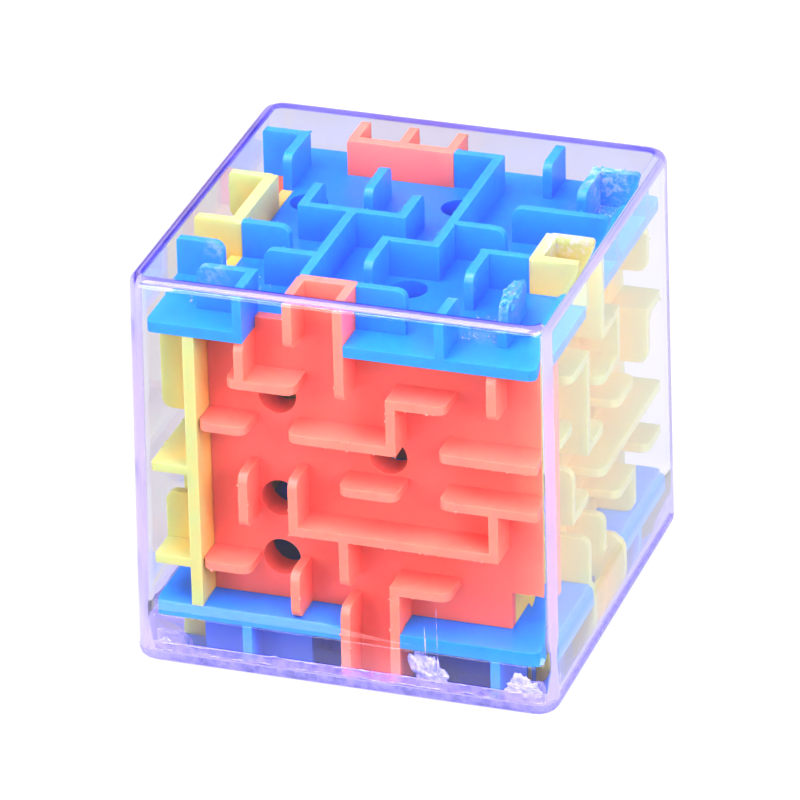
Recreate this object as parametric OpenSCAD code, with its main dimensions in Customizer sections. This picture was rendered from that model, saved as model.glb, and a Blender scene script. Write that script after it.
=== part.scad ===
// Cube maze ball puzzle: six interlocking maze panels and a steel ball in a clear case.
// The cube stands on its base. +X is right, +Y is back, +Z is up, the origin is the middle of the underside.

/* [Case] */
// Outer width of the clear case at its base, mm
case_w = 56.2; // [54.6:0.2:58]
// Wall thickness of the clear case, mm
case_wall = 1.4; // [1:0.1:1.5]
// Thickness of the clear base plate, mm
base_t = 1.8; // [1.3:0.1:2.2]
// How much each side wall leans in over its height (mould draft), mm
case_draft = 0.6; // [0:0.1:0.7]
// Radius of the case's upright edges, mm
case_edge_r = 2.9; // [2.5:0.1:3.5]
// Radius round the case's top face, mm
case_top_r = 1.4; // [0.6:0.1:1.5]
// Radius round the base plate's underside, mm
base_edge_r = 1.4; // [0.4:0.1:1.5]

/* [Maze] */
// Distance between neighbouring maze lines, mm
pitch = 6.6; // [6.5:0.05:6.7]
// Half width of the whole maze, out to the rib tips, mm
reach = 25.4; // [25.2:0.05:25.5]
// Thickness of a panel's plate, mm
plate_t = 1.5; // [1.2:0.1:1.8]
// Thickness of a rib, mm
rib_t = 1.2; // [1:0.1:1.3]
// Diameter of the holes that the ball drops through, mm
hole_d = 5; // [4.8:0.1:5.2]
// How far the collar behind a hole stands into the hollow core, mm
collar_h = 2.4; // [1:0.1:3]

/* [Ball] */
// Diameter of the steel ball, mm
ball_d = 4.5; // [4:0.1:4.6]

/* [Hidden] */

gap = 0.1;                              // the maze's free play over the base plate
top_gap = 0.2;                          // the maze's free play under the case's top
fit = 0.05;                             // clearance between mating panels
centre_z = base_t + gap + reach;        // height of the maze's middle
case_h = centre_z + reach + top_gap + case_wall;
inner = 3 * pitch - plate_t / 2;        // inner face of every plate, from the middle
outer = 3 * pitch + plate_t / 2;        // outer face of every plate
core = inner - fit;                     // how far a part may reach inside the neighbouring plates
edge_line = 4;                          // number of the line that stands for the case wall
rib_end_r = 1.3;                        // rounding of a rib's free upper corner
rib_case_r = 0.4;                       // the same where the rib ends at the case
plate_r = 1;                            // rounding of a plate's outer corners
collar_wall = 0.9;
rim_h = 1.5;                            // locating rim on the base, inside the cover
rim_t = 0.55;
post_w = 3.6;                           // hollow corner posts on the base
post_h = 3.4;
post_pocket = 2;
ball_line = -1;                         // the line on the back panel that the ball rolls along

// Maze walls, one [u0, v0, u1, v1] each, in maze lines from the panel's middle, as seen from outside.
// Lines 3 and -3 are the edges of the core, and 4 and -4 the case wall.
top_walls = [
    [-4, 3, -3, 3], [-3, 2, -3, 3], [-4, -2, -3, -2], [-3, -3, -2, -3], [-2, -4, -2, -3],
    [-2, 0, 0, 0], [-2, 0, -2, 1], [-1, 1, -1, 2], [0, 0, 0, 1], [-1, -3, -1, 0],
    [-2, -2, -1, -2], [-3, -1, -2, -1], [0, 3, 1, 3], [1, -1, 1, 3], [1, 0, 2, 0],
    [0, -1, 1, -1], [0, -2, 0, -1], [2, 3, 2, 4], [2, 1, 4, 1], [3, 3, 4, 3], [3, 2, 3, 3],
    [2, -1, 3, -1], [2, -2, 2, -1], [3, -3, 3, -2], [0, -3, 1, -3], [2, -4, 2, -3]];
bottom_walls = [
    [-3, 3, -1, 3], [-2, 3, -2, 4], [3, 3, 3, 4], [1, 2, 3, 2], [3, 2, 3, 3], [-3, 1, -2, 1],
    [-2, 1, -2, 2], [-1, 1, 1, 1], [0, 1, 0, 2], [1, 0, 1, 1], [2, -1, 2, 1], [2, 1, 3, 1],
    [-2, -1, 0, -1], [-2, -1, -2, 0], [-1, -2, -1, -1], [0, -3, 0, -2], [0, -2, 2, -2],
    [-3, -2, -2, -2], [-3, -3, -3, -2], [-3, -3, -1, -3], [3, -2, 3, -1], [3, -2, 4, -2],
    [0, -4, 0, -3], [-1, -4, -1, -3], [-4, 0, -3, 0]];
front_walls = [
    [-3, 1, -2, 1], [-2, 2, -2, 3], [-2.2, 2, -1, 2], [0, 2, 0, 4], [-1, 3, -1, 4], [1, 2, 2, 2],
    [1, 1, 1, 2], [-1, 1, 1, 1], [3, 2, 3, 3], [2, 1, 4, 1], [2, 0, 4, 0], [-1, -1, 3, -1],
    [3, -1, 3, 0], [-1, -1, -1, 0], [0, 0, 1, 0], [-2, -1, -2, 0], [0, -2, 0, -1],
    [-1, -3, -1, -2], [-3, -2, -2, -2], [1, -2, 2, -2], [1, -4, 1, -2], [0, -4, 0, -2.6]];
back_walls = [
    [0, 3, 0, 4], [1, 3, 1, 4], [2, 2, 2, 4], [-3, -1, 2, -1], [2, -1, 2, 0], [-2, 0, 0, 0],
    [-2, 0, -2, 1], [0, 0, 0, 1], [0, 1, 1, 1], [1, 1, 1, 2], [-1, 1, -1, 2], [-3, 2, -1, 2],
    [2, 0, 3, 0], [3, 0, 3, 1], [3, 1, 4, 1], [2, 2, 4, 2], [-2, -3, -2, -2], [-1, -4, -1, -3],
    [-2, -4, -2, -3], [-1, -2, 1, -2], [1, -3, 1, -2], [3, -2, 3, -1], [2, -2, 3, -2]];
left_walls = [
    [3, 1, 3, 3], [1, 0, 4, 0], [3, -2, 3, -1], [3, -2, 4, -2], [-1, 3, -1, 4], [1, 2, 1, 4],
    [-3, 2, -2, 2], [-2, 0, -2, 2], [-2, 1, -1, 1], [0, 1, 2, 1], [0, 1, 0, 2], [2, 1, 2, 2],
    [-1, -1, -1, 0], [-1, 0, 0, 0], [-3, -1, -2, -1], [-1, -1, 2, -1], [2, -2, 2, -1],
    [-2, -2, 0, -2], [-2, -3, -2, -2], [1, -4, 1, -2], [2, -4, 2, -3]];
right_walls = [
    [-1, 3, -1, 4], [0, 2, 0, 4], [0, 2, 1, 2], [1, 1, 1, 2], [0, 1, 1, 1], [-2, 2, -1, 2],
    [-1, 0, -1, 2], [-1, 0, 0, 0], [-3, 1, -2, 1], [1, 0, 2, 0], [3, 2, 3, 3], [3, 0, 3, 1],
    [3, 1, 4, 1], [0, -1, 4, -1], [3, -2, 4, -2], [-2, -1, -2, 0], [-2, -1, -1, -1],
    [2, -3, 2, -2], [1, -2, 2, -2], [0, -3, 0, -2], [-1, -4, -1, -2], [1, -4, 1, -3]];

// Ball holes, in maze lines from the panel's middle.
top_holes = [[0.5, 2.05], [0.62, -1.55], [-2.42, 1.5]];
bottom_holes = [[0.5, -0.5], [-2.42, -0.5], [1.5, 2.42]];
front_holes = [[-1.5, -2], [-1.5, -0.72], [-1.5, 1.5], [0.7, 0.5]];
back_holes = [[0.9, 0.5], [-1.5, -0.5], [-1.5, 2.42]];
left_holes = [[-1.5, -1.5], [0.5, 1.5], [1.5, -0.5]];
right_holes = [[2.42, 1.5], [-2.42, -1.5], [1.5, -0.5]];

// Joints between a side panel and the top or bottom panel, in the side panel's own lines:
// a tab reaches out to the case between two lines, and a sill lies flush in an open passage.
front_top_tab = [-1, 0];
front_top_sills = [[-2, -1]];
front_bottom_tab = [0, 1];
back_top_tab = [0, 2];
back_bottom_tab = [-2, -1];
back_bottom_sills = [[-1, 0]];
left_top_tab = [-1, 1];
left_top_sills = [[-2, -1], [1, 2]];
left_bottom_tab = [1, 2];
left_bottom_sills = [[0, 1]];
left_top_open = [-3, -2];               // passage beside the sill, where a rib stands on the plate's edge
right_top_tab = [-1, 0];
right_bottom_tab = [-1, 1];
// Gates: passages through the stretch of a side panel that reaches over its neighbour, between two lines.
front_gate = [-4, -2];
back_gate = [1, 2];

function line_at(i) = abs(i) >= edge_line ? sign(i) * reach : i * pitch;

// True where point p lies on wall w.
function on_wall(w, p) =
    min(w[0], w[2]) <= p[0] && p[0] <= max(w[0], w[2]) && min(w[1], w[3]) <= p[1] && p[1] <= max(w[1], w[3]);

function is_joined(walls, p) = len([for (w = walls) if (on_wall(w, p)) 1]) > 1;

// Where a wall's end lies. side is -1 for its low end and 1 for its high end. On a side panel, walls stop
// at the shelves above and below (along = "v") and at the neighbour's plate (along = "u").
function wall_stop(i, side, along, on_side) =
    abs(i) == edge_line ? sign(i) * reach
    : on_side && along == "v" && abs(i) == 3 ? sign(i) * core
    : on_side && along == "u" && i == -3 ? -core
    : i * pitch + side * rib_t / 2;

function corner_r(walls, p) =
    is_joined(walls, p) ? 0 : max(abs(p[0]), abs(p[1])) >= edge_line ? rib_case_r : rib_end_r;

// A quarter arc about c, from angle a, as points.
function arc(c, r, a) = r == 0 ? [c] : [for (t = [0:22.5:90]) c + r * [cos(a + t), sin(a + t)]];

// A rectangle with its own radius at each corner: low left, low right, high right, high left.
module round_rect(lo, hi, r) {
    polygon(concat(
        arc([lo[0] + r[0], lo[1] + r[0]], r[0], 180), arc([hi[0] - r[1], lo[1] + r[1]], r[1], 270),
        arc([hi[0] - r[2], hi[1] - r[2]], r[2], 0), arc([lo[0] + r[3], hi[1] - r[3]], r[3], 90)));
}

// One rib, standing on the plate's outer face, with its free upper corners rounded.
module rib(walls, w, on_side) {
    upright = w[0] == w[2];
    along = upright ? "v" : "u";
    lo = wall_stop(upright ? w[1] : w[0], -1, along, on_side);
    hi = wall_stop(upright ? w[3] : w[2], 1, along, on_side);
    r_lo = corner_r(walls, [w[0], w[1]]);
    r_hi = corner_r(walls, [w[2], w[3]]);
    across = line_at(upright ? w[0] : w[1]);
    root = outer - plate_t / 2;
    translate(upright ? [across, 0, 0] : [0, across, 0])
        rotate([90, 0, upright ? 90 : 0])
            translate([0, 0, -rib_t / 2])
                linear_extrude(rib_t)
                    round_rect([lo, root], [hi, reach], [0, 0, r_hi, r_lo]);
}

// A panel in its own frame: u along X, v along Y, and its outside towards +Z. The first child is the
// outline of its plate, and the second, if any, is cut away from the plate and the ribs on it.
module panel(walls, holes, on_side) {
    difference() {
        union() {
            translate([0, 0, inner]) linear_extrude(plate_t) children(0);
            for (w = walls) rib(walls, w, on_side);
            collars(holes);
        }
        for (h = holes)
            translate([h[0] * pitch, h[1] * pitch, inner - collar_h - 1])
                cylinder(h = collar_h + plate_t + 2, d = hole_d, $fn = 48);
        if ($children > 1)
            translate([0, 0, inner - 1]) linear_extrude(reach - inner + 2) children(1);
    }
}

// Collars round the holes, on the plate's inner face, kept clear of the plates next to it.
module collars(holes) {
    intersection() {
        for (h = holes)
            translate([h[0] * pitch, h[1] * pitch, inner - collar_h])
                cylinder(h = collar_h + plate_t / 2, d = hole_d + 2 * collar_wall, $fn = 48);
        translate([-core, -core, 0]) cube([2 * core, 2 * core, outer]);
    }
}

// The square plate of the top and bottom panels.
module square_plate() {
    round_rect([-reach, -reach], [reach, reach], [for (i = [0:3]) plate_r]);
}

// Cut-out in the top or bottom panel, along edge 0 front, 1 right, 2 back or 3 left.
module edge_cut(edge, lo, hi, depth) {
    rotate(90 * edge) translate([lo, -reach - 1]) square([hi - lo, reach + 1 - depth]);
}

module tab_cut(edge, tab) {
    edge_cut(edge, line_at(tab[0]) - rib_t / 2 - fit, line_at(tab[1]) + rib_t / 2 + fit, core);
}

module sill_cut(edge, sill) {
    edge_cut(edge, line_at(sill[0]) + rib_t / 2, line_at(sill[1]) - rib_t / 2, core);
}

// The plate of a side panel: it reaches over its right-hand neighbour, and its tabs go up and down.
module side_plate(top_tab, top_sills, bottom_tab, bottom_sills, gate) {
    difference() {
        union() {
            round_rect([-core, -core], [reach, core], [0, 0, 0, 0]);
            tab(top_tab, core, reach, [0, 0, rib_case_r, rib_case_r]);
            tab(bottom_tab, -reach, -core, [rib_case_r, rib_case_r, 0, 0]);
            for (s = top_sills) sill(s, core, outer);
            for (s = bottom_sills) sill(s, -outer, -core);
        }
        if (len(gate) == 2)
            translate([outer, line_at(gate[0]) + rib_t / 2])
                square([reach, line_at(gate[1]) - line_at(gate[0]) - rib_t]);
    }
}

module tab(lines, lo, hi, r) {
    round_rect([line_at(lines[0]) - rib_t / 2, lo], [line_at(lines[1]) + rib_t / 2, hi], r);
}

module sill(lines, lo, hi) {
    translate([line_at(lines[0]) + rib_t / 2 + fit, lo])
        square([line_at(lines[1]) - line_at(lines[0]) - rib_t - 2 * fit, hi - lo]);
}

module top_panel() {
    color("dodgerblue") translate([0, 0, centre_z])
        panel(top_walls, top_holes, false) {
            square_plate();
            union() {
                tab_cut(0, front_top_tab);
                for (s = front_top_sills) sill_cut(0, s);
                tab_cut(1, right_top_tab);
                tab_cut(2, back_top_tab);
                tab_cut(3, left_top_tab);
                for (s = left_top_sills) sill_cut(3, s);
                edge_cut(3, line_at(left_top_open[0]) + rib_t / 2, line_at(left_top_open[1]) + rib_t,
                         line_at(3) + rib_t / 2);
            }
        }
}

module bottom_panel() {
    color("dodgerblue") translate([0, 0, centre_z]) rotate([180, 0, 0])
        panel(bottom_walls, bottom_holes, false) {
            square_plate();
            mirror([0, 1]) {
                tab_cut(0, front_bottom_tab);
                tab_cut(1, right_bottom_tab);
                tab_cut(2, back_bottom_tab);
                for (s = back_bottom_sills) sill_cut(2, s);
                tab_cut(3, left_bottom_tab);
                for (s = left_bottom_sills) sill_cut(3, s);
            }
        }
}

// Stands a panel up on its side of the cube: 0 front, 1 right, 2 back, 3 left.
module on_side(turns) {
    translate([0, 0, centre_z]) rotate([90, 0, 90 * turns]) children();
}

module front_panel() {
    color("tomato") on_side(0)
        panel(front_walls, front_holes, true)
            side_plate(front_top_tab, front_top_sills, front_bottom_tab, [], front_gate);
}

module right_panel() {
    color("khaki") on_side(1)
        panel(right_walls, right_holes, true)
            side_plate(right_top_tab, [], right_bottom_tab, [], []);
}

module back_panel() {
    color("tomato") on_side(2)
        panel(back_walls, back_holes, true)
            side_plate(back_top_tab, [], back_bottom_tab, back_bottom_sills, back_gate);
}

module left_panel() {
    color("khaki") on_side(3)
        panel(left_walls, left_holes, true)
            side_plate(left_top_tab, left_top_sills, left_bottom_tab, left_bottom_sills, []);
}

// A thin square slice with round corners, for the hulls of the case.
module slice(z, half, r) {
    translate([0, 0, z]) linear_extrude(0.01)
        round_rect([-half, -half], [half, half], [r, r, r, r]);
}

// Half width of the case's outside at height z.
function case_half(z) = case_w / 2 - case_draft * z / case_h;

module case_body(lo, hi, inset, top_r) {
    hull() {
        slice(lo, case_half(lo) - inset, case_edge_r - inset);
        for (a = [0:15:90]) {
            z = hi - top_r + top_r * sin(a);
            slice(z - 0.01, case_half(z) - inset - top_r * (1 - cos(a)), max(case_edge_r - inset, top_r));
        }
    }
}

module case_cover() {
    color([0.75, 0.72, 0.95, 0.35]) difference() {
        case_body(base_t, case_h, 0, case_top_r);
        case_body(base_t - 1, case_h - case_wall, case_wall, 0.3);
    }
}

module base_plate() {
    half = case_half(0);
    rim_out = half - case_wall - 0.1;
    rim_in = rim_out - rim_t;
    post_at = reach - post_w / 2;
    color([0.75, 0.72, 0.95, 0.35]) {
        hull() {
            slice(base_t - 0.01, half, case_edge_r);
            for (a = [0:15:90]) {
                drawn_in = base_edge_r * (1 - cos(a));
                slice(base_edge_r * (1 - sin(a)), half - drawn_in, case_edge_r - drawn_in);
            }
        }
        translate([0, 0, base_t]) linear_extrude(rim_h) difference() {
            round_rect([-rim_out, -rim_out], [rim_out, rim_out], [for (i = [0:3]) case_edge_r - case_wall]);
            round_rect([-rim_in, -rim_in], [rim_in, rim_in], [for (i = [0:3]) rib_t / 2]);
        }
        for (x = [-1, 1], y = [-1, 1])
            translate([x * post_at, y * post_at, base_t]) difference() {
                linear_extrude(post_h) square(post_w, center = true);
                translate([0, 0, 1]) linear_extrude(post_h) square(post_pocket, center = true);
            }
    }
}

// Dabs of adhesive that bond the base: a large one at the front and a small one beside each corner post.
module glue_dabs() {
    dab_at = reach - rib_t;
    color("white") {
        translate([line_at(1.6), -dab_at, base_t]) dab([4.8, 1.9, 3.6]);
        for (s = [[-1, -1], [1, 1], [-1, 1]])
            translate([s[0] * (dab_at - post_w - 1.6), s[1] * dab_at, base_t]) dab([2.6, 1.6, 1.4]);
    }
}

// A low mound of the given size, flat underneath.
module dab(size) {
    intersection() {
        scale([size[0] / 2, size[1] / 2, size[2]]) sphere(r = 1, $fn = 24);
        translate([-size[0], -size[1], 0]) cube([2 * size[0], 2 * size[1], 2 * size[2]]);
    }
}

// The ball lies at the right-hand end of its corridor on the back of the maze, as seen from the front.
module steel_ball() {
    u = -(core - ball_d / 2);
    v = ball_line * pitch + rib_t / 2 + fit + ball_d / 2;
    color("silver") on_side(2) translate([u, v, (outer + reach) / 2]) sphere(d = ball_d, $fn = 64);
}

case_cover();
base_plate();
top_panel();
bottom_panel();
front_panel();
back_panel();
left_panel();
right_panel();
glue_dabs();
steel_ball();
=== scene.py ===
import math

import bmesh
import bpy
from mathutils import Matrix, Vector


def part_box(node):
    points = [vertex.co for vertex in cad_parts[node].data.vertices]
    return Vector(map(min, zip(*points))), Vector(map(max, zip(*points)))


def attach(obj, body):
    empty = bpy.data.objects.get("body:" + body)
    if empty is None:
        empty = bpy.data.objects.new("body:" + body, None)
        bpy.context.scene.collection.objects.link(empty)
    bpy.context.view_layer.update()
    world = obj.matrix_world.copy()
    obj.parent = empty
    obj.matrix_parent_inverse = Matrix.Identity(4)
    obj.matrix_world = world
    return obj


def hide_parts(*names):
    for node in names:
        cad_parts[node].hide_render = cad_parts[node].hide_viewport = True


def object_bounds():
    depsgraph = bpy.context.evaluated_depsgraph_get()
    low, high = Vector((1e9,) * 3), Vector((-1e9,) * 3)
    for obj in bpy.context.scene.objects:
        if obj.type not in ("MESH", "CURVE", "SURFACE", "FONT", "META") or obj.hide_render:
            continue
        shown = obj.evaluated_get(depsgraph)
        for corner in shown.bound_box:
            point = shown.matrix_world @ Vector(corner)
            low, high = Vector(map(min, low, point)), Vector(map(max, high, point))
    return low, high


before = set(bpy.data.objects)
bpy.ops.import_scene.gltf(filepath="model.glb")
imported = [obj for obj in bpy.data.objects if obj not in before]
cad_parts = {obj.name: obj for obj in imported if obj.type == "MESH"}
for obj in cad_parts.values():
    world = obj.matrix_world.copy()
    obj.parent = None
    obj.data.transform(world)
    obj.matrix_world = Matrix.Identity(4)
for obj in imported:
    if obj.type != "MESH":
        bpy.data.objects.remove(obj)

# %% [markdown]
# # A maze cube in a clear case
# The real toy is a clear polystyrene box round six coloured mouldings that slot together into a hollow
# cube. A small steel ball rolls in the corridors between their ribs. The CAD model has already fixed
# every size and place, so this lesson adds what CAD leaves out: rounded edges, clear walls that bend
# light, and the glue.

cad_low, cad_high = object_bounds()
MM = 0.001
case_low, case_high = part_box("case_cover")
maze_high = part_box("top_panel")[1]
floor_of_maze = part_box("bottom_panel")[0].z
maze_centre = Vector((0, 0, (floor_of_maze + maze_high.z) / 2))
reach = maze_high.x
print("CAD box in mm:", [round(v / MM, 1) for v in (*cad_low, *cad_high)])
print("maze centre at z", round(maze_centre.z / MM, 2), "mm, ribs reach", round(reach / MM, 2), "mm")

# %% [markdown]
# ## Two small helpers
# Colours are easiest to read as hex values, as a paint chart gives them, but Blender wants linear light,
# so one function turns one into the other. A second adds a shader or geometry node, sets its properties
# and joins its inputs, so that each material below reads as a list of what it is made of.

# %% Colour and node helpers


def linear(hex_colour):
    """An sRGB hex value as a linear colour with alpha."""
    channels = [int(hex_colour[i : i + 2], 16) / 255 for i in (1, 3, 5)]
    return (*(c / 12.92 if c <= 0.04045 else ((c + 0.055) / 1.055) ** 2.4 for c in channels), 1.0)


def add(tree, kind, inputs=None, **settings):
    """Add a node. settings are its own properties, and inputs are values or other nodes' outputs."""
    node = tree.nodes.new(kind)
    for name, value in settings.items():
        setattr(node, name, value)
    for name, value in (inputs or {}).items():
        if isinstance(value, bpy.types.NodeSocket):
            tree.links.new(value, node.inputs[name])
        else:
            node.inputs[name].default_value = value
    return node


def new_material(name):
    """A material with an empty tree and its output node."""
    material = bpy.data.materials.new(name)
    material.use_nodes = True
    material.node_tree.nodes.clear()
    return material, material.node_tree, material.node_tree.nodes.new("ShaderNodeOutputMaterial")


FACTOR, MIX_A, MIX_B, MIXED = 0, 6, 7, 2  # sockets of a Mix node that mixes colours
print("red as linear light:", [round(c, 3) for c in linear("#FF6B68")])

# %% [markdown]
# ## Moulded plastic for the maze
# The panels are polystyrene coloured in the mass and moulded in steel tools. That gives the eye a satin
# surface with faint flow marks and a little light travelling through the thin ribs. Over that the colour
# is painted light and shade by height above the plate: a deeper painted shade down at the plate, between
# the ribs, and a paler painted highlight at the rib tips, which stand out into the light. The height above
# the plate is the largest of the three distances from the cube's centre, so one pattern serves all six
# panels.

# %% Moulded polystyrene

PLATE_FACE = 20.5 * MM  # about where a plate's outer face lies, from the maze's centre
FLOW_SCALE = 1 / (7 * MM)  # flow marks about 7 mm apart
GRAIN_SCALE = 1 / (0.5 * MM)  # spark-eroded tool grain, drawn coarser than the real 0.05 mm to show
FROST_SIZE = 1 / (0.9 * MM)


def moulded_polystyrene(name, recess_shade, plate, lit_tip, light_reach, frost_at=()):
    """Satin coloured plastic, painted darker as shade at the plate and paler as light at the rib tips."""
    material, tree, out = new_material(name)
    place = add(tree, "ShaderNodeTexCoord").outputs["Object"]
    centred = add(tree, "ShaderNodeVectorMath", {0: place, 1: maze_centre}, operation="SUBTRACT")
    sizes = add(tree, "ShaderNodeVectorMath", {0: centred.outputs[0]}, operation="ABSOLUTE")
    axes = add(tree, "ShaderNodeSeparateXYZ", {0: sizes.outputs[0]})
    wider = add(tree, "ShaderNodeMath", {0: axes.outputs[0], 1: axes.outputs[1]}, operation="MAXIMUM")
    height = add(tree, "ShaderNodeMath", {0: wider.outputs[0], 1: axes.outputs[2]}, operation="MAXIMUM")
    # painted light and shade: from a painted shade at the plate up to a painted highlight at the rib tips
    climb = add(tree, "ShaderNodeMapRange", {0: height.outputs[0], 1: PLATE_FACE - 3 * MM, 2: reach})
    painted_light_ramp = add(tree, "ShaderNodeValToRGB", {0: climb.outputs[0]})
    stops = painted_light_ramp.color_ramp.elements
    stops[0].color, stops[1].color = linear(recess_shade), linear(lit_tip)
    stops.new(0.42).color = linear(plate)
    flow = add(
        tree, "ShaderNodeTexNoise",
        {"Vector": place, "Scale": FLOW_SCALE, "Detail": 3.0, "Roughness": 0.55, "Distortion": 1.2},
    )
    flow_tone = add(tree, "ShaderNodeMapRange", {0: flow.outputs[0], 1: 0.3, 2: 0.7, 3: 0.0, 4: 0.35})
    toned = add(
        tree, "ShaderNodeMix",
        {FACTOR: flow_tone.outputs[0], MIX_A: painted_light_ramp.outputs[0], MIX_B: linear(plate)}, data_type="RGBA",
    )
    colour = toned.outputs[MIXED]
    rough = add(
        tree, "ShaderNodeMapRange", {0: flow.outputs[0], 1: 0.3, 2: 0.7, 3: 0.36, 4: 0.48}).outputs[0]
    if frost_at:
        colour, rough = frosted(tree, place, colour, rough, frost_at)
    grain = add(tree, "ShaderNodeTexNoise", {"Vector": place, "Scale": GRAIN_SCALE, "Detail": 4.0})
    bump = add(
        tree, "ShaderNodeBump", {"Height": grain.outputs[0], "Strength": 0.12, "Distance": 0.05 * MM})
    plastic = add(
        tree, "ShaderNodeBsdfPrincipled",
        {"Base Color": colour, "Roughness": rough, "Normal": bump.outputs[0], "IOR": 1.59,
         "Specular IOR Level": 0.3, "Subsurface Weight": 0.6, "Subsurface Radius": linear(lit_tip)[:3],
         "Subsurface Scale": light_reach},
    )
    tree.links.new(plastic.outputs[0], out.inputs["Surface"])
    return material


def frosted(tree, place, colour, rough, spots):
    """The white bloom that glue fumes leave on the plastic near each spot: paler and duller in patches."""
    near = None
    for spot, size in spots:
        away = add(tree, "ShaderNodeVectorMath", {0: place, 1: spot}, operation="DISTANCE")
        fade = add(
            tree, "ShaderNodeMapRange", {0: away.outputs["Value"], 1: size * 0.35, 2: size, 3: 1.0, 4: 0.0})
        near = fade.outputs[0] if near is None else add(
            tree, "ShaderNodeMath", {0: near, 1: fade.outputs[0]}, operation="MAXIMUM").outputs[0]
    specks = add(
        tree, "ShaderNodeTexNoise", {"Vector": place, "Scale": FROST_SIZE, "Detail": 5.0, "Roughness": 0.7})
    patches = add(tree, "ShaderNodeMapRange", {0: specks.outputs[0], 1: 0.46, 2: 0.66})
    bloom = add(tree, "ShaderNodeMath", {0: near, 1: patches.outputs[0]}, operation="MULTIPLY")
    share = add(tree, "ShaderNodeMath", {0: bloom.outputs[0], 1: 0.6}, operation="MULTIPLY")
    pale = add(tree, "ShaderNodeMix", {FACTOR: share.outputs[0], MIX_A: colour, MIX_B: linear("#DCD8FA")},
               data_type="RGBA")
    dull = add(tree, "ShaderNodeMath", {0: share.outputs[0], 1: rough}, operation="ADD")
    return pale.outputs[MIXED], dull.outputs[0]


def on_top(x_mm, y_mm):
    """A point at the tips of the top ribs, where glue was run in."""
    return Vector((x_mm * MM, y_mm * MM, maze_centre.z + reach))


# in each set the deep colour is painted shade at the plate and the tip colour painted light at the rib tips
blue = moulded_polystyrene(
    "blue_moulded_polystyrene", recess_shade="#0052D6", plate="#0074E6", lit_tip="#148EF0", light_reach=3.5 * MM,
    frost_at=[(on_top(-19, -17), 5 * MM), (on_top(17, -17), 6 * MM), (on_top(20, 19), 6.5 * MM)],
)
red = moulded_polystyrene(
    "red_moulded_polystyrene", recess_shade="#F83A28", plate="#FC6450", lit_tip="#FF8462", light_reach=5 * MM)
# the greenish tip colour is painted blue light, bounced from the blue ribs around the yellow tabs
yellow = moulded_polystyrene(
    "yellow_moulded_polystyrene", recess_shade="#DCB03C", plate="#E0BA50", lit_tip="#B2C474", light_reach=4 * MM,
    frost_at=[(on_top(22, -2), 4.5 * MM)],
)
print("made", blue.name, red.name, yellow.name)

# %% [markdown]
# ## The six maze panels
# Each panel could be rebuilt rib by rib, but the frame already holds the exact moulding, notches and tabs
# included. What it lacks is the small radius that every moulded edge has, and that catches the light. So
# a copy of the CAD mesh is welded, its flat triangles are joined into whole faces, and a Bevel modifier
# rounds the edges outside and leaves a fillet inside. The CAD node is then replaced by the finished
# piece.

# %% Round the edges of a copied CAD node


def finish_piece(piece, material, replaced=(), body="cube"):
    piece.data.materials.clear()
    piece.data.materials.append(material)
    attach(piece, body)
    if replaced:
        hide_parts(*replaced)
    return piece


def new_piece(name, mesh):
    """An object at the origin for a mesh that already lies in its place."""
    piece = bpy.data.objects.new(name, mesh)
    bpy.context.scene.collection.objects.link(piece)
    return piece


def bevelled_copy(node, name, width, segments=3):
    """A copy of a CAD node with its edges rounded."""
    shape = bmesh.new()
    shape.from_mesh(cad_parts[node].data)
    bmesh.ops.remove_doubles(shape, verts=shape.verts, dist=0.001 * MM)
    bmesh.ops.dissolve_limit(shape, angle_limit=math.radians(0.5), verts=shape.verts, edges=shape.edges)
    bmesh.ops.recalc_face_normals(shape, faces=shape.faces)
    mesh = bpy.data.meshes.new(name)
    shape.to_mesh(mesh)
    shape.free()
    mesh.materials.clear()
    piece = new_piece(name, mesh)
    bevel = piece.modifiers.new("rounded edges", "BEVEL")
    bevel.width = width
    bevel.segments = segments
    bevel.limit_method = "ANGLE"
    bevel.angle_limit = math.radians(35)
    level = piece.modifiers.new("flat faces stay flat", "WEIGHTED_NORMAL")
    level.weight = 100
    for face in mesh.polygons:
        face.use_smooth = True
    return piece


EDGE_RADIUS = 0.34 * MM
for side, material, slot in (
    ("top", blue, "blue_plastic"), ("bottom", blue, "blue_plastic"),
    ("front", red, "red_plastic"), ("back", red, "red_plastic"),
    ("left", yellow, "yellow_plastic"), ("right", yellow, "yellow_plastic"),
):
    panel = bevelled_copy(f"{side}_panel", f"{side}_maze_panel", EDGE_RADIUS)
    finish_piece(panel, material, [f"{side}_panel"])
    print(panel.name, len(panel.data.polygons), "faces before the bevel")

# %% [markdown]
# ## Clear polystyrene for the case
# Clear polystyrene bends light like glass and is tinted faintly violet to hide its natural yellow. The
# tint works by length of path: a wall seen face on looks almost clear, but along an edge the light runs
# through many millimetres and comes out violet. So the colour is an absorption inside the plastic, not a
# paint on it. Light that meets a face too steeply can't leave, and is guided along the wall until a
# scratch lets it out, which is why the edges glow violet. Following that light would take hundreds of
# bounces, so where a ray inside the plastic is wholly reflected, most of it is scattered by a violet
# shader instead. The Fresnel node tells where. Lamps' rays would be stopped by true refraction, so for
# shadow rays only the wall is a clear sheet.

# %% Clear polystyrene


IOR_POLYSTYRENE = 1.49  # under the textbook 1.59, a choice of look: faces seen at a slant stay clearer
MIRROR_POWER = 4.0  # raised to this, only a nearly whole reflection counts
GLOW_SHARE = 0.85  # share of the wholly reflected rays that the violet shader scatters
TINT_PER_METRE = 32.0  # density of the absorption inside the plastic
SMEAR_FROM, SMEAR_TO = 24.5 * MM, 27.0 * MM  # how far out the smears begin, and where they are full


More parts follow.
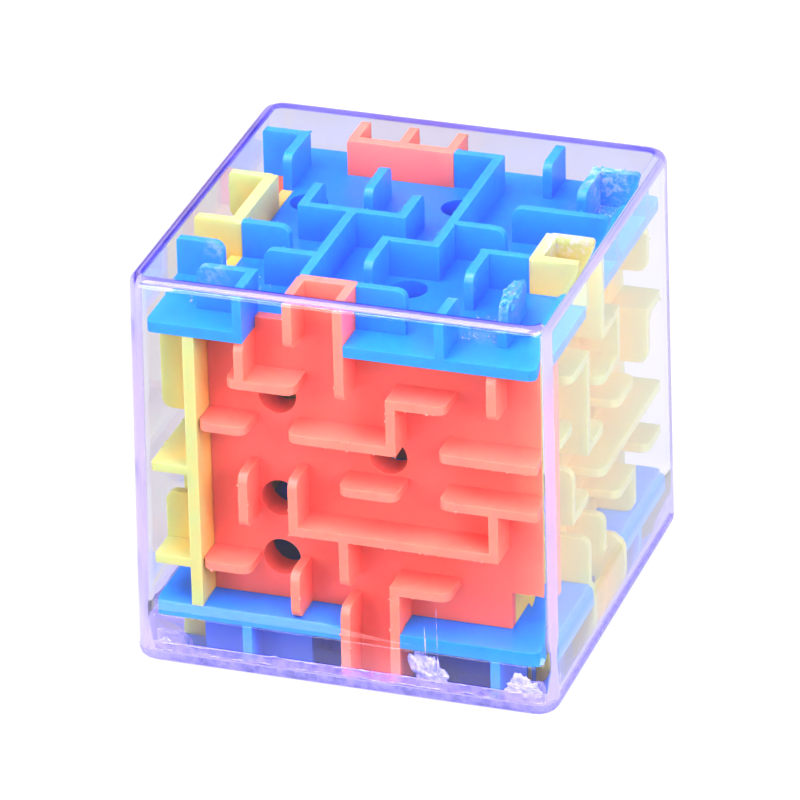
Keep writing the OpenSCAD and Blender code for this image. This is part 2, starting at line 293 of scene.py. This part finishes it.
def clear_polystyrene(name, tint_per_metre, tint, glow, smeared=False):
    """Clear plastic with a violet tint inside, letting the lamps' light through. smeared clouds its rim."""
    material, tree, out = new_material(name)
    place = add(tree, "ShaderNodeTexCoord").outputs["Object"]
    ripple = add(tree, "ShaderNodeTexNoise", {"Vector": place, "Scale": 1 / (9 * MM), "Detail": 1.0})
    bump = add(
        tree, "ShaderNodeBump", {"Height": ripple.outputs[0], "Strength": 0.25, "Distance": 0.05 * MM})
    plastic = add(
        tree, "ShaderNodeBsdfPrincipled",
        {"Base Color": (0.92, 0.92, 1, 1), "Roughness": 0.0, "IOR": IOR_POLYSTYRENE,
         "Transmission Weight": 1.0,
         "Normal": bump.outputs[0]},
    )
    mirrored = add(tree, "ShaderNodeFresnel", {"IOR": IOR_POLYSTYRENE})
    wholly = add(tree, "ShaderNodeMath", {0: mirrored.outputs[0], 1: MIRROR_POWER}, operation="POWER")
    within = add(tree, "ShaderNodeNewGeometry").outputs["Backfacing"]
    guided = add(tree, "ShaderNodeMath", {0: wholly.outputs[0], 1: within}, operation="MULTIPLY")
    leak = add(tree, "ShaderNodeMath", {0: guided.outputs[0], 1: GLOW_SHARE}, operation="MULTIPLY")
    passed = add(tree, "ShaderNodeBsdfTranslucent", {"Color": glow})
    thrown = add(tree, "ShaderNodeBsdfDiffuse", {"Color": glow})
    violet = add(tree, "ShaderNodeMixShader", {0: 0.4, 1: passed.outputs[0], 2: thrown.outputs[0]})
    cloud = leak
    if smeared:  # patches of glue along the outer few millimetres
        sizes = add(tree, "ShaderNodeVectorMath", {0: place}, operation="ABSOLUTE")
        axes = add(tree, "ShaderNodeSeparateXYZ", {0: sizes.outputs[0]})
        out_to = add(tree, "ShaderNodeMath", {0: axes.outputs[0], 1: axes.outputs[1]}, operation="MAXIMUM")
        rim = add(tree, "ShaderNodeMapRange", {0: out_to.outputs[0], 1: SMEAR_FROM, 2: SMEAR_TO})
        wisps = add(tree, "ShaderNodeTexNoise", {"Vector": place, "Scale": 1 / (1.5 * MM), "Detail": 5.0})
        patchy = add(tree, "ShaderNodeMapRange", {0: wisps.outputs[0], 1: 0.35, 2: 0.65, 3: 0.3, 4: 0.9})
        smear = add(tree, "ShaderNodeMath", {0: rim.outputs[0], 1: patchy.outputs[0]}, operation="MULTIPLY")
        cloud = add(tree, "ShaderNodeMath", {0: leak.outputs[0], 1: smear.outputs[0]}, operation="MAXIMUM")
    edge_lit = add(
        tree, "ShaderNodeMixShader", {0: cloud.outputs[0], 1: plastic.outputs[0], 2: violet.outputs[0]})
    sheet = add(tree, "ShaderNodeBsdfTransparent", {"Color": (0.95, 0.95, 1.0, 1)})
    rays = add(tree, "ShaderNodeLightPath")
    surface = add(
        tree, "ShaderNodeMixShader",
        {0: rays.outputs["Is Shadow Ray"], 1: edge_lit.outputs[0], 2: sheet.outputs[0]},
    )
    inside = add(tree, "ShaderNodeVolumeAbsorption", {"Color": tint, "Density": tint_per_metre})
    tree.links.new(surface.outputs[0], out.inputs["Surface"])
    tree.links.new(inside.outputs[0], out.inputs["Volume"])
    return material


VIOLET_TINT, VIOLET_GLOW = (0.42, 0.22, 0.98, 1), (0.62, 0.56, 1.0, 1)
clear = clear_polystyrene("clear_violet_polystyrene", TINT_PER_METRE, VIOLET_TINT, VIOLET_GLOW)
smeared = clear_polystyrene(
    "glue_smeared_clear_polystyrene", TINT_PER_METRE, VIOLET_TINT, VIOLET_GLOW, smeared=True)
print("made", clear.name, smeared.name)

# %% [markdown]
# ## The case cover
# The cover is a five-sided box with leaning walls, for the mould to let go, and rounded edges. It is
# built as a stack of rounded squares: up the outside, over the top, and for the cavity up the inside
# again. Each ring comes from one function of its height, so the draft and both radii are plain numbers
# set here, and the width at the floor and the height are taken from the frame.

# %% Build the cover from rings

WALL = 1.4 * MM
DRAFT = 0.6 * MM
UPRIGHT_RADIUS = 2.9 * MM
TOP_RADIUS = 1.4 * MM
ARC_STEPS = 12
GLUE_LINE = 0.03 * MM  # left open between cover and base, so that the two don't share a face
base_top = case_low.z
half_at_floor = cad_high.x


def half_width(z):
    """Half the width of the case's outside at height z."""
    return half_at_floor - DRAFT * z / case_high.z


def rounded_square(half, radius, z, steps=ARC_STEPS):
    """Points round a square with round corners, anticlockwise from above."""
    points = []
    for quarter, (sx, sy) in enumerate(((1, 1), (-1, 1), (-1, -1), (1, -1))):
        centre = Vector((sx, sy, 0)) * (half - radius)
        for step in range(steps + 1):
            angle = math.pi / 2 * (quarter + step / steps)
            outwards = Vector((math.cos(angle), math.sin(angle), 0))
            points.append(centre + radius * outwards + Vector((0, 0, z)))
    return points


def shell_rings(bottom, top, inset, top_radius, upright_radius):
    """The rings of one skin, from its foot up to the edge of its flat top."""
    heights = [bottom + (top - top_radius - bottom) * i / 6 for i in range(7)]
    rings = [rounded_square(half_width(z) - inset, upright_radius, z) for z in heights]
    for step in range(1, ARC_STEPS + 1):
        angle = math.pi / 2 * step / ARC_STEPS
        z = top - top_radius + top_radius * math.sin(angle)
        drawn_in = top_radius * (1 - math.cos(angle))
        radius = max(upright_radius - drawn_in, 0.4 * MM)
        rings.append(rounded_square(half_width(z) - inset - drawn_in, radius, z))
    return rings


def bridge(shape, rings):
    """Skin a stack of rings with quads and return the rings' vertices."""
    loops = [[shape.verts.new(p) for p in ring] for ring in rings]
    count = len(loops[0])
    for low, high in zip(loops, loops[1:]):
        for i in range(count):
            shape.faces.new((low[i], low[(i + 1) % count], high[(i + 1) % count], high[i]))
    return loops


cover_shape = bmesh.new()
foot = base_top + GLUE_LINE
outer = bridge(cover_shape, shell_rings(foot, case_high.z, 0, TOP_RADIUS, UPRIGHT_RADIUS))
inner = bridge(cover_shape, shell_rings(foot, case_high.z - WALL, WALL, 0.35 * MM, UPRIGHT_RADIUS - WALL))
cover_shape.faces.new(outer[-1])
cover_shape.faces.new(inner[-1])
count = len(outer[0])
for i in range(count):
    j = (i + 1) % count
    cover_shape.faces.new((outer[0][j], outer[0][i], inner[0][i], inner[0][j]))
bmesh.ops.recalc_face_normals(cover_shape, faces=cover_shape.faces)
cover_mesh = bpy.data.meshes.new("clear_cover")
cover_shape.to_mesh(cover_mesh)
cover_shape.free()
for face in cover_mesh.polygons:
    face.use_smooth = len(face.vertices) == 4 and abs(face.normal.z) < 0.999
cover = finish_piece(new_piece("clear_cover", cover_mesh), clear, ["case_cover"])
print("cover volume faces", len(cover_mesh.polygons))

base = bevelled_copy("base_plate", "clear_base", 0.15 * MM, 2)
finish_piece(base, smeared, ["base_plate"])

# %% [markdown]
# ## Two helpers for Geometry Nodes
# The glue, its crumbs and the burrs on the ribs all repeat or follow a path, so each is grown by a node
# group with named sizes and a fixed seed. The first helper opens such a group, and the second runs it on
# a starting mesh and keeps the plain mesh that comes out.

# %% Node group helpers


def new_group(name, sizes):
    """An empty group with a mesh coming in, the named sizes, a material and a mesh going out."""
    group = bpy.data.node_groups.new(name, "GeometryNodeTree")
    sockets = group.interface
    sockets.new_socket("Geometry", in_out="INPUT", socket_type="NodeSocketGeometry")
    for label, value in sizes.items():
        kind = {int: "NodeSocketInt", float: "NodeSocketFloat"}.get(type(value), "NodeSocketVector")
        sockets.new_socket(label, in_out="INPUT", socket_type=kind)
    sockets.new_socket("Material", in_out="INPUT", socket_type="NodeSocketMaterial")
    sockets.new_socket("Geometry", in_out="OUTPUT", socket_type="NodeSocketGeometry")
    return group, group.nodes.new("NodeGroupInput").outputs


def close_group(group, geometry, given):
    """Realize the instances, set the material and lead the geometry out."""
    real = add(group, "GeometryNodeRealizeInstances", {0: geometry})
    coated = add(
        group, "GeometryNodeSetMaterial", {"Geometry": real.outputs[0], "Material": given["Material"]})
    smooth = add(group, "GeometryNodeSetShadeSmooth", {0: coated.outputs[0]})
    group.links.new(smooth.outputs[0], group.nodes.new("NodeGroupOutput").inputs[0])


def grown(name, start, group, sizes, material):
    """A piece whose mesh is what the group makes of the starting mesh."""
    piece = new_piece(name, start)
    modifier = piece.modifiers.new(group.name, "NODES")
    modifier.node_group = group
    for item in group.interface.items_tree:
        if item.in_out == "INPUT" and item.name in sizes:
            modifier[item.identifier] = sizes[item.name]
        elif item.name == "Material":
            modifier[item.identifier] = material
    graph = bpy.context.evaluated_depsgraph_get()
    mesh = bpy.data.meshes.new_from_object(piece.evaluated_get(graph), depsgraph=graph)
    piece.modifiers.clear()
    mesh.name = name
    piece.data = mesh
    print(name, len(mesh.polygons), "faces")
    return piece


def points_mesh(name, points, edges=()):
    """A starting mesh of loose points and edges."""
    mesh = bpy.data.meshes.new(name)
    mesh.from_pydata([tuple(p) for p in points], list(edges), [])
    return mesh


# %% [markdown]
# ## The adhesive
# The base is held by drops of instant glue. Cured in the open they shrink into cloudy, crumpled lumps,
# pull out hairs as the nozzle lifts, and leave a ragged seam where they creep along the joint. The
# cloudiness is light scattered by tiny bubbles, so the material scatters under its surface and its colour
# follows the folds.

# %% Cured adhesive


def cured_adhesive(name):
    """Cloudy glue, paler on its folds, with light scattered under the skin."""
    material, tree, out = new_material(name)
    place = add(tree, "ShaderNodeTexCoord").outputs["Object"]
    folds = add(
        tree, "ShaderNodeTexNoise",
        {"Vector": place, "Scale": 1 / (0.9 * MM), "Detail": 6.0, "Roughness": 0.65},
    )
    cloud = add(tree, "ShaderNodeMapRange", {0: folds.outputs[0], 1: 0.38, 2: 0.62})
    tone = add(
        tree, "ShaderNodeMix",
        {FACTOR: cloud.outputs[0], MIX_A: linear("#8A8EDA"), MIX_B: linear("#C6C2F0")}, data_type="RGBA",
    )
    bump = add(tree, "ShaderNodeBump", {"Height": folds.outputs[0], "Strength": 0.5, "Distance": 0.2 * MM})
    glue = add(
        tree, "ShaderNodeBsdfPrincipled",
        {"Base Color": tone.outputs[MIXED], "Roughness": 0.3, "IOR": 1.49, "Normal": bump.outputs[0],
         "Subsurface Weight": 0.3, "Subsurface Radius": (0.9, 0.9, 1.0), "Subsurface Scale": 0.6 * MM},
    )
    tree.links.new(glue.outputs[0], out.inputs["Surface"])
    return material


glue = cured_adhesive("cured_cyanoacrylate")

# %% [markdown]
# A lump starts as one ball of unit size. Coarse noise dents it, ridged noise folds its skin, and then it
# is scaled to its size and cut off flat where it sits on the base.

# %% Crumpled lumps of glue

lump_sizes = {"Size": (1.0, 1.0, 1.0), "Centre": (0.0, 0.0, 0.0), "Lean": 0.3, "Floor": 0.0, "Seed": 1}
lump_group, given = new_group("crumpled_lump", lump_sizes)
ball = add(lump_group, "GeometryNodeMeshIcoSphere", {"Radius": 1.0, "Subdivisions": 6})
where = add(lump_group, "GeometryNodeInputPosition").outputs[0]
normal = add(lump_group, "GeometryNodeInputNormal").outputs[0]
dents = add(
    lump_group, "ShaderNodeTexNoise", {"Vector": where, "W": given["Seed"], "Scale": 1.3, "Detail": 1.0},
    noise_dimensions="4D",
)
folds = add(
    lump_group, "ShaderNodeTexNoise", {"Vector": where, "W": given["Seed"], "Scale": 2.2, "Detail": 5.0},
    noise_dimensions="4D",
)
dent = add(lump_group, "ShaderNodeMapRange", {0: dents.outputs[0], 1: 0.3, 2: 0.7, 3: -0.35, 4: 0.35})
centred = add(lump_group, "ShaderNodeMath", {0: folds.outputs[0], 1: 0.5}, operation="SUBTRACT")
crease = add(lump_group, "ShaderNodeMath", {0: centred.outputs[0]}, operation="ABSOLUTE")
fold = add(lump_group, "ShaderNodeMath", {0: crease.outputs[0], 1: 2.2}, operation="MULTIPLY")
push = add(lump_group, "ShaderNodeMath", {0: dent.outputs[0], 1: fold.outputs[0]}, operation="ADD")
offset = add(lump_group, "ShaderNodeVectorMath", {0: normal, "Scale": push.outputs[0]}, operation="SCALE")
rumpled = add(
    lump_group, "GeometryNodeSetPosition", {"Geometry": ball.outputs[0], "Offset": offset.outputs[0]})
axes = add(lump_group, "ShaderNodeSeparateXYZ", {0: where})
rise = add(lump_group, "ShaderNodeMath", {0: axes.outputs[0], 1: given["Lean"]}, operation="MULTIPLY")
lift = add(lump_group, "ShaderNodeCombineXYZ", {2: rise.outputs[0]})
leaning = add(
    lump_group, "GeometryNodeSetPosition", {"Geometry": rumpled.outputs[0], "Offset": lift.outputs[0]})
placed = add(lump_group, "GeometryNodeTransform", {
    "Geometry": leaning.outputs[0], "Translation": given["Centre"], "Scale": given["Size"]})
low = add(
    lump_group, "ShaderNodeMath",
    {0: add(lump_group, "ShaderNodeSeparateXYZ", {0: where}).outputs[2], 1: given["Floor"]},
    operation="MAXIMUM",
)
seat = add(lump_group, "ShaderNodeCombineXYZ", {0: axes.outputs[0], 1: axes.outputs[1], 2: low.outputs[0]})
seated = add(
    lump_group, "GeometryNodeSetPosition", {"Geometry": placed.outputs[0], "Position": seat.outputs[0]})
close_group(lump_group, seated.outputs[0], given)

seat_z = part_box("glue_dabs")[0].z
nothing = points_mesh("start", [])
lumps = [
    ("glue_lump", (11.1, -25.1, 4.2), (1.8, 1.0, 1.8), -0.3, 3),
    ("glue_smear_right", (23.5, -25.6, 3.6), (1.9, 0.5, 1.7), 0.0, 5),
    ("glue_smear_left", (-24.2, -25.4, 2.9), (1.0, 0.5, 0.9), -0.2, 6),
    ("glue_drop_left", (-19.2, -24.6, 2.1), (1.5, 0.9, 0.8), 0.1, 8),
    ("glue_drop_back_right", (19.2, 24.6, 2.1), (1.4, 0.9, 0.8), 0.2, 12),
    ("glue_drop_back_left", (-19.2, 24.6, 2.1), (1.4, 0.9, 0.9), -0.2, 17),
]
for name, centre, size, lean, seed in lumps:
    sizes = {"Size": [v * MM for v in size], "Centre": [v * MM for v in centre], "Lean": lean,
             "Floor": seat_z, "Seed": seed}
    piece = grown(name, nothing.copy(), lump_group, sizes, glue)
    finish_piece(piece, glue, ["glue_dabs"] if name == "glue_lump" else [])

# %% [markdown]
# One rib of the top panel was nipped off by hand and its upper edge is torn. The same group makes the
# tear from the panel's own plastic: a long lump sunk into the top of the rib, with its folds standing out
# as ragged flakes.

# %% Torn rib edge

torn = {
    "Size": [v * MM for v in (0.85, 3.0, 1.0)], "Centre": [19.8 * MM, -16.4 * MM, maze_high.z - 0.75 * MM],
    "Lean": 0.0, "Floor": 0.0, "Seed": 23,
}
finish_piece(grown("torn_rib_edge", nothing.copy(), lump_group, torn, blue), blue)

# %% [markdown]
# The hairs and the seam are both a path with a round section whose radius is shaken by noise, so one
# group makes both. It follows the edges it is given, and a taper thins a hair towards its free end.

# %% Hairs and seam of glue

path_sizes = {"Radius": 0.1, "Step": 0.2, "Shake": 0.1, "Grain": 1.0, "Taper": 0.0, "Seed": 1}
path_group, given = new_group("shaken_path", path_sizes)
curve = add(path_group, "GeometryNodeMeshToCurve", {0: given["Geometry"]})
even = add(
    path_group, "GeometryNodeResampleCurve",
    {"Curve": curve.outputs[0], "Length": given["Step"]}, mode="LENGTH",
)
where = add(path_group, "GeometryNodeInputPosition").outputs[0]
wander = add(
    path_group, "ShaderNodeTexNoise",
    {"Vector": where, "W": given["Seed"], "Scale": given["Grain"], "Detail": 4.0}, noise_dimensions="4D",
)
about = add(
    path_group, "ShaderNodeVectorMath", {0: wander.outputs[1], 1: (0.5, 0.5, 0.5)}, operation="SUBTRACT")
shift = add(
    path_group, "ShaderNodeVectorMath", {0: about.outputs[0], "Scale": given["Shake"]}, operation="SCALE")
shaken = add(
    path_group, "GeometryNodeSetPosition", {"Geometry": even.outputs[0], "Offset": shift.outputs[0]})
along = add(path_group, "GeometryNodeSplineParameter").outputs["Factor"]
loss = add(path_group, "ShaderNodeMath", {0: along, 1: given["Taper"]}, operation="MULTIPLY")
left = add(path_group, "ShaderNodeMath", {0: 1.0, 1: loss.outputs[0]}, operation="SUBTRACT")
swell = add(path_group, "ShaderNodeMapRange", {0: wander.outputs[0], 1: 0.42, 2: 0.66, 3: 0.12, 4: 2.2})
thick = add(path_group, "ShaderNodeMath", {0: swell.outputs[0], 1: left.outputs[0]}, operation="MULTIPLY")
radius = add(path_group, "ShaderNodeMath", {0: thick.outputs[0], 1: given["Radius"]}, operation="MULTIPLY")
sized = add(
    path_group, "GeometryNodeSetCurveRadius", {"Curve": shaken.outputs[0], "Radius": radius.outputs[0]})
ring = add(path_group, "GeometryNodeCurvePrimitiveCircle", {"Resolution": 6, "Radius": 1.0})
tube = add(path_group, "GeometryNodeCurveToMesh", {
    "Curve": sized.outputs[0], "Profile Curve": ring.outputs[0], "Fill Caps": True})
if "Scale" in tube.inputs:
    path_group.links.new(radius.outputs[0], tube.inputs["Scale"])
close_group(path_group, tube.outputs[0], given)

hairs = points_mesh(
    "hair_paths",
    [Vector(p) * MM for p in (
        (10.9, -26.2, 5.2), (10.8, -26.4, 10.2), (12.5, -26.2, 4.4), (12.4, -26.4, 13.1))],
    [(0, 1), (2, 3)],
)
hair_sizes = {
    "Radius": 0.09 * MM, "Step": 0.3 * MM, "Shake": 0.25 * MM, "Grain": 1 / (2 * MM), "Taper": 0.7,
    "Seed": 4,
}
finish_piece(grown("glue_hairs", hairs, path_group, hair_sizes, glue), glue)

seam_half = half_width(base_top) - WALL - 0.1 * MM
seam_sizes = {
    "Radius": 0.1 * MM, "Step": 0.25 * MM, "Shake": 0.9 * MM, "Grain": 1 / (2.2 * MM), "Taper": 0.0,
    "Seed": 11,
}
for level, lift_mm in (("low", 0.2), ("high", 1.3)):
    loop = rounded_square(seam_half, UPRIGHT_RADIUS - WALL, base_top + lift_mm * MM)
    rim = points_mesh(f"seam_path_{level}", loop, [(i, (i + 1) % len(loop)) for i in range(len(loop))])
    finish_piece(grown(f"glue_seam_{level}", rim, path_group, seam_sizes, glue), glue)

# %% [markdown]
# ## Crumbs and burrs
# Glue crumbs lie on the top panel near three corners. Where the two halves of a mould met or a gate was
# cut, the ribs' edges carry little burrs. Both are a seeded scatter of faceted grains: crumbs over small
# patches, burrs along the edges of the rib tips, taken from the frame.

# %% Scatter grains

grain_sizes = {"Density": 1.0, "Smallest": 0.1, "Largest": 0.2, "Seed": 1}
crumb_group, given = new_group("crumbs_on_patches", grain_sizes)
points = add(crumb_group, "GeometryNodeDistributePointsOnFaces", {
    "Mesh": given["Geometry"], "Density": given["Density"], "Seed": given["Seed"]})
grain_on = {"crumb": (crumb_group, given, points.outputs["Points"])}

burr_group, given = new_group("burrs_on_edges", grain_sizes)
curve = add(burr_group, "GeometryNodeMeshToCurve", {0: given["Geometry"]})
even = add(
    burr_group, "GeometryNodeResampleCurve",
    {"Curve": curve.outputs[0], "Length": 0.35 * MM}, mode="LENGTH",
)
chance = add(
    burr_group, "FunctionNodeRandomValue", {"Probability": given["Density"], "Seed": given["Seed"]},
    data_type="BOOLEAN",
)
dropped = add(burr_group, "FunctionNodeBooleanMath", {0: chance.outputs[3]}, operation="NOT")
kept = add(burr_group, "GeometryNodeCurveToPoints", {0: even.outputs[0]}, mode="EVALUATED")
thinned = add(
    burr_group, "GeometryNodeDeleteGeometry",
    {"Geometry": kept.outputs[0], "Selection": dropped.outputs[0]}, domain="POINT",
)
grain_on["burr"] = (burr_group, given, thinned.outputs[0])

FULL_TURN = 6.28
for group, given, at in grain_on.values():
    grain = add(group, "GeometryNodeMeshIcoSphere", {"Radius": 1.0, "Subdivisions": 1})
    turn = add(
        group, "FunctionNodeRandomValue",
        {0: (0, 0, 0), 1: (FULL_TURN,) * 3, "Seed": given["Seed"]}, data_type="FLOAT_VECTOR",
    )
    size = add(
        group, "FunctionNodeRandomValue",
        {2: given["Smallest"], 3: given["Largest"], "Seed": given["Seed"]}, data_type="FLOAT",
    )
    stretch = add(
        group, "FunctionNodeRandomValue",
        {0: (0.5, 0.5, 0.5), 1: (1.5, 1.5, 1.5), "Seed": given["Seed"]}, data_type="FLOAT_VECTOR",
    )
    scale = add(
        group, "ShaderNodeVectorMath", {0: stretch.outputs[0], "Scale": size.outputs[1]}, operation="SCALE")
    strewn = add(group, "GeometryNodeInstanceOnPoints", {
        "Points": at, "Instance": grain.outputs[0], "Rotation": turn.outputs[0], "Scale": scale.outputs[0]})
    close_group(group, strewn.outputs[0], given)

plate_top = maze_centre.z + PLATE_FACE + 0.1 * MM  # just over the plate
patches = ((-20, -16.5, 2.5), (16, -17, 2.5), (20.5, 18, 3), (-14, -14, 2))
corners = [Vector((x + dx * r, y + dy * r, 0)) * MM + Vector((0, 0, plate_top))
           for x, y, r in patches for dx, dy in ((-1, -1), (1, -1), (1, 1), (-1, 1))]
patch_mesh = bpy.data.meshes.new("crumb_patches")
squares = [tuple(range(i, i + 4)) for i in range(0, len(corners), 4)]
patch_mesh.from_pydata([tuple(c) for c in corners], [], squares)
crumb_sizes = {"Density": 1.6e6, "Smallest": 0.05 * MM, "Largest": 0.14 * MM, "Seed": 21}
finish_piece(grown("glue_crumbs", patch_mesh, crumb_group, crumb_sizes, glue), glue)


SHARP = 1.0  # radians between two faces


def tip_edges(node, axis, sign):
    """The sharp edges of a panel's rib tips, as a starting mesh."""
    shape = bmesh.new()
    shape.from_mesh(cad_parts[node].data)
    bmesh.ops.remove_doubles(shape, verts=shape.verts, dist=0.001 * MM)
    level = reach - 0.02 * MM
    tips = [e for e in shape.edges if len(e.link_faces) == 2 and e.calc_face_angle(0) > SHARP
            and all(sign * (v.co - maze_centre)[axis] > level for v in e.verts)]
    ends = [v.co for e in tips for v in e.verts]
    mesh = points_mesh(f"{node}_tips", ends, [(2 * i, 2 * i + 1) for i in range(len(tips))])
    shape.free()
    return mesh


X, Y, Z = 0, 1, 2
for node, axis, sign, material, slot, seed in (
    ("top_panel", Z, 1, blue, "blue_plastic", 31), ("bottom_panel", Z, -1, blue, "blue_plastic", 32),
    ("front_panel", Y, -1, red, "red_plastic", 33), ("back_panel", Y, 1, red, "red_plastic", 34),
    ("left_panel", X, -1, yellow, "yellow_plastic", 35),
    ("right_panel", X, 1, yellow, "yellow_plastic", 36),
):
    burr_sizes = {"Density": 0.1, "Smallest": 0.07 * MM, "Largest": 0.2 * MM, "Seed": seed}
    name = node.replace("panel", "rib_burrs")
    burrs = grown(name, tip_edges(node, axis, sign), burr_group, burr_sizes, material)
    finish_piece(burrs, material)

# %% [markdown]
# ## The steel ball
# A hardened steel ball is lapped to a mirror, so it is all reflection, broken only by hair scratches.

# %% Lapped steel


def lapped_steel(name):
    """Mirror steel with fine scratches."""
    material, tree, out = new_material(name)
    place = add(tree, "ShaderNodeTexCoord").outputs["Object"]
    scratches = add(tree, "ShaderNodeTexNoise", {"Vector": place, "Scale": 1 / (0.3 * MM), "Detail": 6.0})
    rough = add(tree, "ShaderNodeMapRange", {0: scratches.outputs[0], 1: 0.35, 2: 0.75, 3: 0.05, 4: 0.2})
    steel = add(
        tree, "ShaderNodeBsdfPrincipled",
        {"Base Color": linear("#C9CACD"), "Metallic": 1.0, "Roughness": rough.outputs[0]},
    )
    tree.links.new(steel.outputs[0], out.inputs["Surface"])
    return material


steel = lapped_steel("lapped_steel")
ball_low, ball_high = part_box("steel_ball")
ball_shape = bmesh.new()
bmesh.ops.create_icosphere(
    ball_shape, subdivisions=5, radius=(ball_high.x - ball_low.x) / 2,
    matrix=Matrix.Translation((ball_low + ball_high) / 2),
)
ball_mesh = bpy.data.meshes.new("rolling_ball")
ball_shape.to_mesh(ball_mesh)
ball_shape.free()
for face in ball_mesh.polygons:
    face.use_smooth = True
finish_piece(new_piece("rolling_ball", ball_mesh), steel, ["steel_ball"], body="ball")

# %% [markdown]
# ## Camera, floor and light
# The camera stands well back with a long lens, so the cube's edges stay nearly parallel. The floor and
# lamps are staging and no part of the object. The floor is a sheet of paper that gives off light, so that
# it stays white round the cube. Under the cube it is dark and blue, as paper is in the shadow of a blue
# panel, and in front it is dimmer to every ray but the camera's, so that it doesn't wash out the ledges.
# That is a choice of look and not how paper behaves, so under other lights the part should be looked at
# on a plain floor.

# %% Camera

SENSOR = 36.0
view = {"azimuth": 18.908, "elevation": 27.517, "roll": -1.398, "distance": 0.91688, "lens": 322.0}
target = maze_centre + Vector((-0.88, 0, -0.1)) * MM


def aim(azimuth, elevation, roll, distance):
    """A camera's place and turn, azimuth 0 looking along +Y."""
    az, el, turn = (math.radians(a) for a in (azimuth, elevation, roll))
    back = Vector((math.sin(az) * math.cos(el), -math.cos(az) * math.cos(el), math.sin(el)))
    level = Vector((0, 0, 1)).cross(back).normalized()
    upright = back.cross(level)
    right = level * math.cos(turn) + upright * math.sin(turn)
    up = upright * math.cos(turn) - level * math.sin(turn)
    matrix = Matrix((right, up, back)).transposed().to_4x4()
    matrix.translation = target + back * distance
    return matrix


lens = bpy.data.cameras.new("camera")
lens.sensor_width = SENSOR
lens.lens = view["lens"]
lens.clip_start, lens.clip_end = 0.01, 10
camera = bpy.data.objects.new("camera", lens)
bpy.context.scene.collection.objects.link(camera)
camera.matrix_world = aim(view["azimuth"], view["elevation"], view["roll"], view["distance"])
bpy.context.scene.camera = camera

# %% Floor and lights

floor_mesh = bpy.data.meshes.new("floor")
floor_shape = bmesh.new()
bmesh.ops.create_grid(floor_shape, x_segments=1, y_segments=1, size=3.0)
floor_shape.to_mesh(floor_mesh)
floor_shape.free()
floor = new_piece("floor", floor_mesh)
paper, tree, out = new_material("white_paper")
place = add(tree, "ShaderNodeTexCoord").outputs["Object"]
away = add(tree, "ShaderNodeVectorMath", {0: place}, operation="ABSOLUTE")
SHADOW_INSET = 7 * MM  # the darkest floor ends this far inside the cube's outline
SHADOW_FADE = 8 * MM  # from there the floor brightens over this distance
BLUE_FADE = 6 * MM
SHADOW_BLUE = (0.03, 0.1, 1.0, 1)
DIM_FROM, DIM_TO = -28 * MM, -38 * MM  # towards the front, for every ray but the camera's
FAR = 9  # metres, so that height never counts in the distance from the cube
inner_edge = (cad_high.x - SHADOW_INSET, cad_high.y - SHADOW_INSET, FAR)
beyond = add(tree, "ShaderNodeVectorMath", {0: away.outputs[0], 1: inner_edge}, operation="SUBTRACT")
outside = add(tree, "ShaderNodeVectorMath", {0: beyond.outputs[0], 1: (0, 0, 0)}, operation="MAXIMUM")
gap = add(tree, "ShaderNodeVectorMath", {0: outside.outputs[0]}, operation="LENGTH")
shade = add(tree, "ShaderNodeMapRange", {0: gap.outputs["Value"], 1: 0.0, 2: SHADOW_FADE, 3: 0.22, 4: 0.92},
            interpolation_type="SMOOTHSTEP")
depth = add(tree, "ShaderNodeSeparateXYZ", {0: place})
falling = add(tree, "ShaderNodeMapRange", {0: depth.outputs[1], 1: DIM_TO, 2: DIM_FROM, 3: 0.15, 4: 1.0},
              interpolation_type="SMOOTHSTEP")
seen = add(tree, "ShaderNodeMath", {0: falling.outputs[0], 1: add(
    tree, "ShaderNodeLightPath").outputs["Is Camera Ray"]}, operation="MAXIMUM")
strength = add(tree, "ShaderNodeMath", {0: shade.outputs[0], 1: seen.outputs[0]}, operation="MULTIPLY")
bounced = add(tree, "ShaderNodeMapRange", {0: gap.outputs["Value"], 1: 0.0, 2: BLUE_FADE})
glow = add(
    tree, "ShaderNodeMix",
    {FACTOR: bounced.outputs[0], MIX_A: SHADOW_BLUE, MIX_B: (1, 1, 1, 1)}, data_type="RGBA",
)
sheet = add(
    tree, "ShaderNodeBsdfPrincipled",
    {"Base Color": (0.12, 0.12, 0.12, 1), "Roughness": 0.9, "Emission Color": glow.outputs[MIXED],
     "Emission Strength": strength.outputs[0]},
)
tree.links.new(sheet.outputs[0], out.inputs["Surface"])
floor_mesh.materials.append(paper)

world = bpy.data.worlds.new("studio")
bpy.context.scene.world = world
world.use_nodes = True
world.node_tree.nodes["Background"].inputs["Color"].default_value = (1, 1, 1, 1)
world.node_tree.nodes["Background"].inputs["Strength"].default_value = 0.22


def softbox(name, at, size, watts, colour=(1, 1, 1)):
    """A square lamp that faces the middle of the cube."""
    light = bpy.data.lights.new(name, "AREA")
    light.size = size
    light.energy = watts
    lamp = bpy.data.objects.new(name, light)
    bpy.context.scene.collection.objects.link(lamp)
    lamp.location = at
    lamp.rotation_euler = (maze_centre - lamp.location).to_track_quat("-Z", "Y").to_euler()
    light.color = colour


softbox("key", Vector((-0.12, -0.2, 0.6)), 0.4, 5.2)
softbox("fill", Vector((0.52, -0.36, 0.4)), 0.4, 5.9)
softbox("warm_front", Vector((-0.42, -0.6, 0.16)), 0.5, 3.7, (1.0, 0.92, 0.82))
bpy.context.scene.view_settings.view_transform = "Standard"
